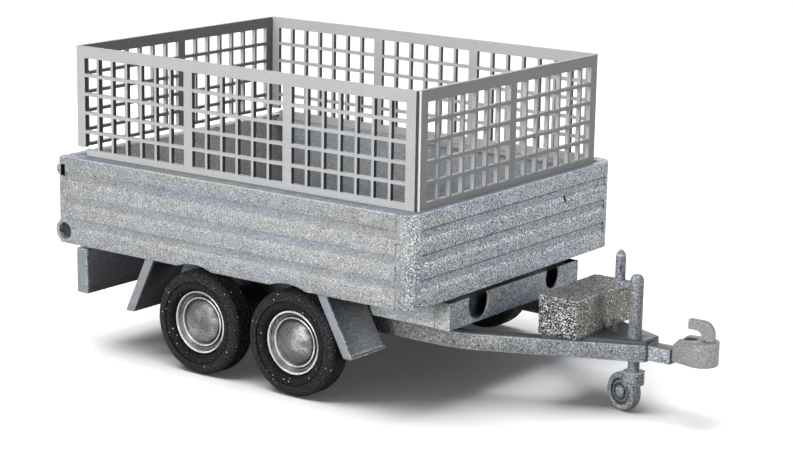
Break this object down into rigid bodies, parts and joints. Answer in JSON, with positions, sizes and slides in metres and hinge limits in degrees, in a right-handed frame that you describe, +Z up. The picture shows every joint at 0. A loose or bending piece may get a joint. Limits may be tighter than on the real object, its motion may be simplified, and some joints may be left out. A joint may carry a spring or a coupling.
{
  "type": "scale model utility trailer",
  "caption": "Small scale model of a tandem-axle utility trailer: ribbed drop-gate box, removable mesh cage, A-frame drawbar with toolbox, jockey wheel and ball coupling.",
  "frame": {"origin": "on the floor under the middle of the whole length and width", "axes": "+X forward to the coupling, +Y to the trailer's left side, +Z up"},
  "size_m": [0.0394, 0.021, 0.0182],
  "materials": {
    "box_grey": "silver grey moulded plastic with fine metallic flake, satin",
    "mesh_grey": "light silver grey moulded plastic, satin",
    "chassis_grey": "silver grey moulded plastic, a little rough",
    "fitting_grey": "smooth light grey moulded plastic",
    "tool_box_grey": "coarse silver paint with a sparkling grain",
    "rim_silver": "silver painted plastic, scuffed on the rings",
    "tyre_black": "black, matt, dusty",
    "axle_steel": "bare thin steel rod"
  },
  "bodies": {
    "chassis": {"axle_beam_front": "chassis_grey", "axle_beam_rear": "chassis_grey", "axle_rod_front": "axle_steel", "axle_rod_rear": "axle_steel", "bed_floor": "box_grey", "coupling_head": "fitting_grey", "coupling_lever": "fitting_grey", "drawbar_beam_left": "chassis_grey", "drawbar_beam_right": "chassis_grey", "drawbar_head": "chassis_grey", "drawbar_plate": "chassis_grey", "frame_rail_left": "chassis_grey", "frame_rail_right": "chassis_grey", "frame_skirt_left": "chassis_grey", "frame_skirt_right": "chassis_grey", "front_bolster": "chassis_grey", "front_wall": "box_grey", "jockey_crank": "fitting_grey", "jockey_fork": "fitting_grey", "jockey_post": "fitting_grey", "jockey_wheel": "fitting_grey", "light_board": "chassis_grey", "mesh_front": "mesh_grey", "mesh_rear": "mesh_grey", "mesh_side_left": "mesh_grey", "mesh_side_right": "mesh_grey", "mudguard_left": "chassis_grey", "mudguard_right": "chassis_grey", "side_wall_left": "box_grey", "side_wall_right": "box_grey", "tool_box": "tool_box_grey"},
    "tailgate": {"tailgate": "box_grey"},
    "wheel_front_right": {"tyre_front_right": "tyre_black", "rim_front_right": "rim_silver"},
    "wheel_front_left": {"tyre_front_left": "tyre_black", "rim_front_left": "rim_silver"},
    "wheel_rear_right": {"tyre_rear_right": "tyre_black", "rim_rear_right": "rim_silver"},
    "wheel_rear_left": {"tyre_rear_left": "tyre_black", "rim_rear_left": "rim_silver"}
  },
  "joints": [
    {"name": "tailgate_hinge", "type": "hinge", "parent": "chassis", "child": "tailgate", "pos_m": [-0.01892, 0, 0.0071], "axis": [0, -1, 0], "range_deg": [0, 170]},
    {"name": "wheel_front_right_spin", "type": "hinge", "parent": "chassis", "child": "wheel_front_right", "pos_m": [-0.00176, -0.00945, 0.00308], "axis": [0, 1, 0], "continuous": true},
    {"name": "wheel_front_left_spin", "type": "hinge", "parent": "chassis", "child": "wheel_front_left", "pos_m": [-0.00176, 0.00945, 0.00308], "axis": [0, 1, 0], "continuous": true},
    {"name": "wheel_rear_right_spin", "type": "hinge", "parent": "chassis", "child": "wheel_rear_right", "pos_m": [-0.00866, -0.00945, 0.00308], "axis": [0, 1, 0], "continuous": true},
    {"name": "wheel_rear_left_spin", "type": "hinge", "parent": "chassis", "child": "wheel_rear_left", "pos_m": [-0.00866, 0.00945, 0.00308], "axis": [0, 1, 0], "continuous": true}
  ]
}
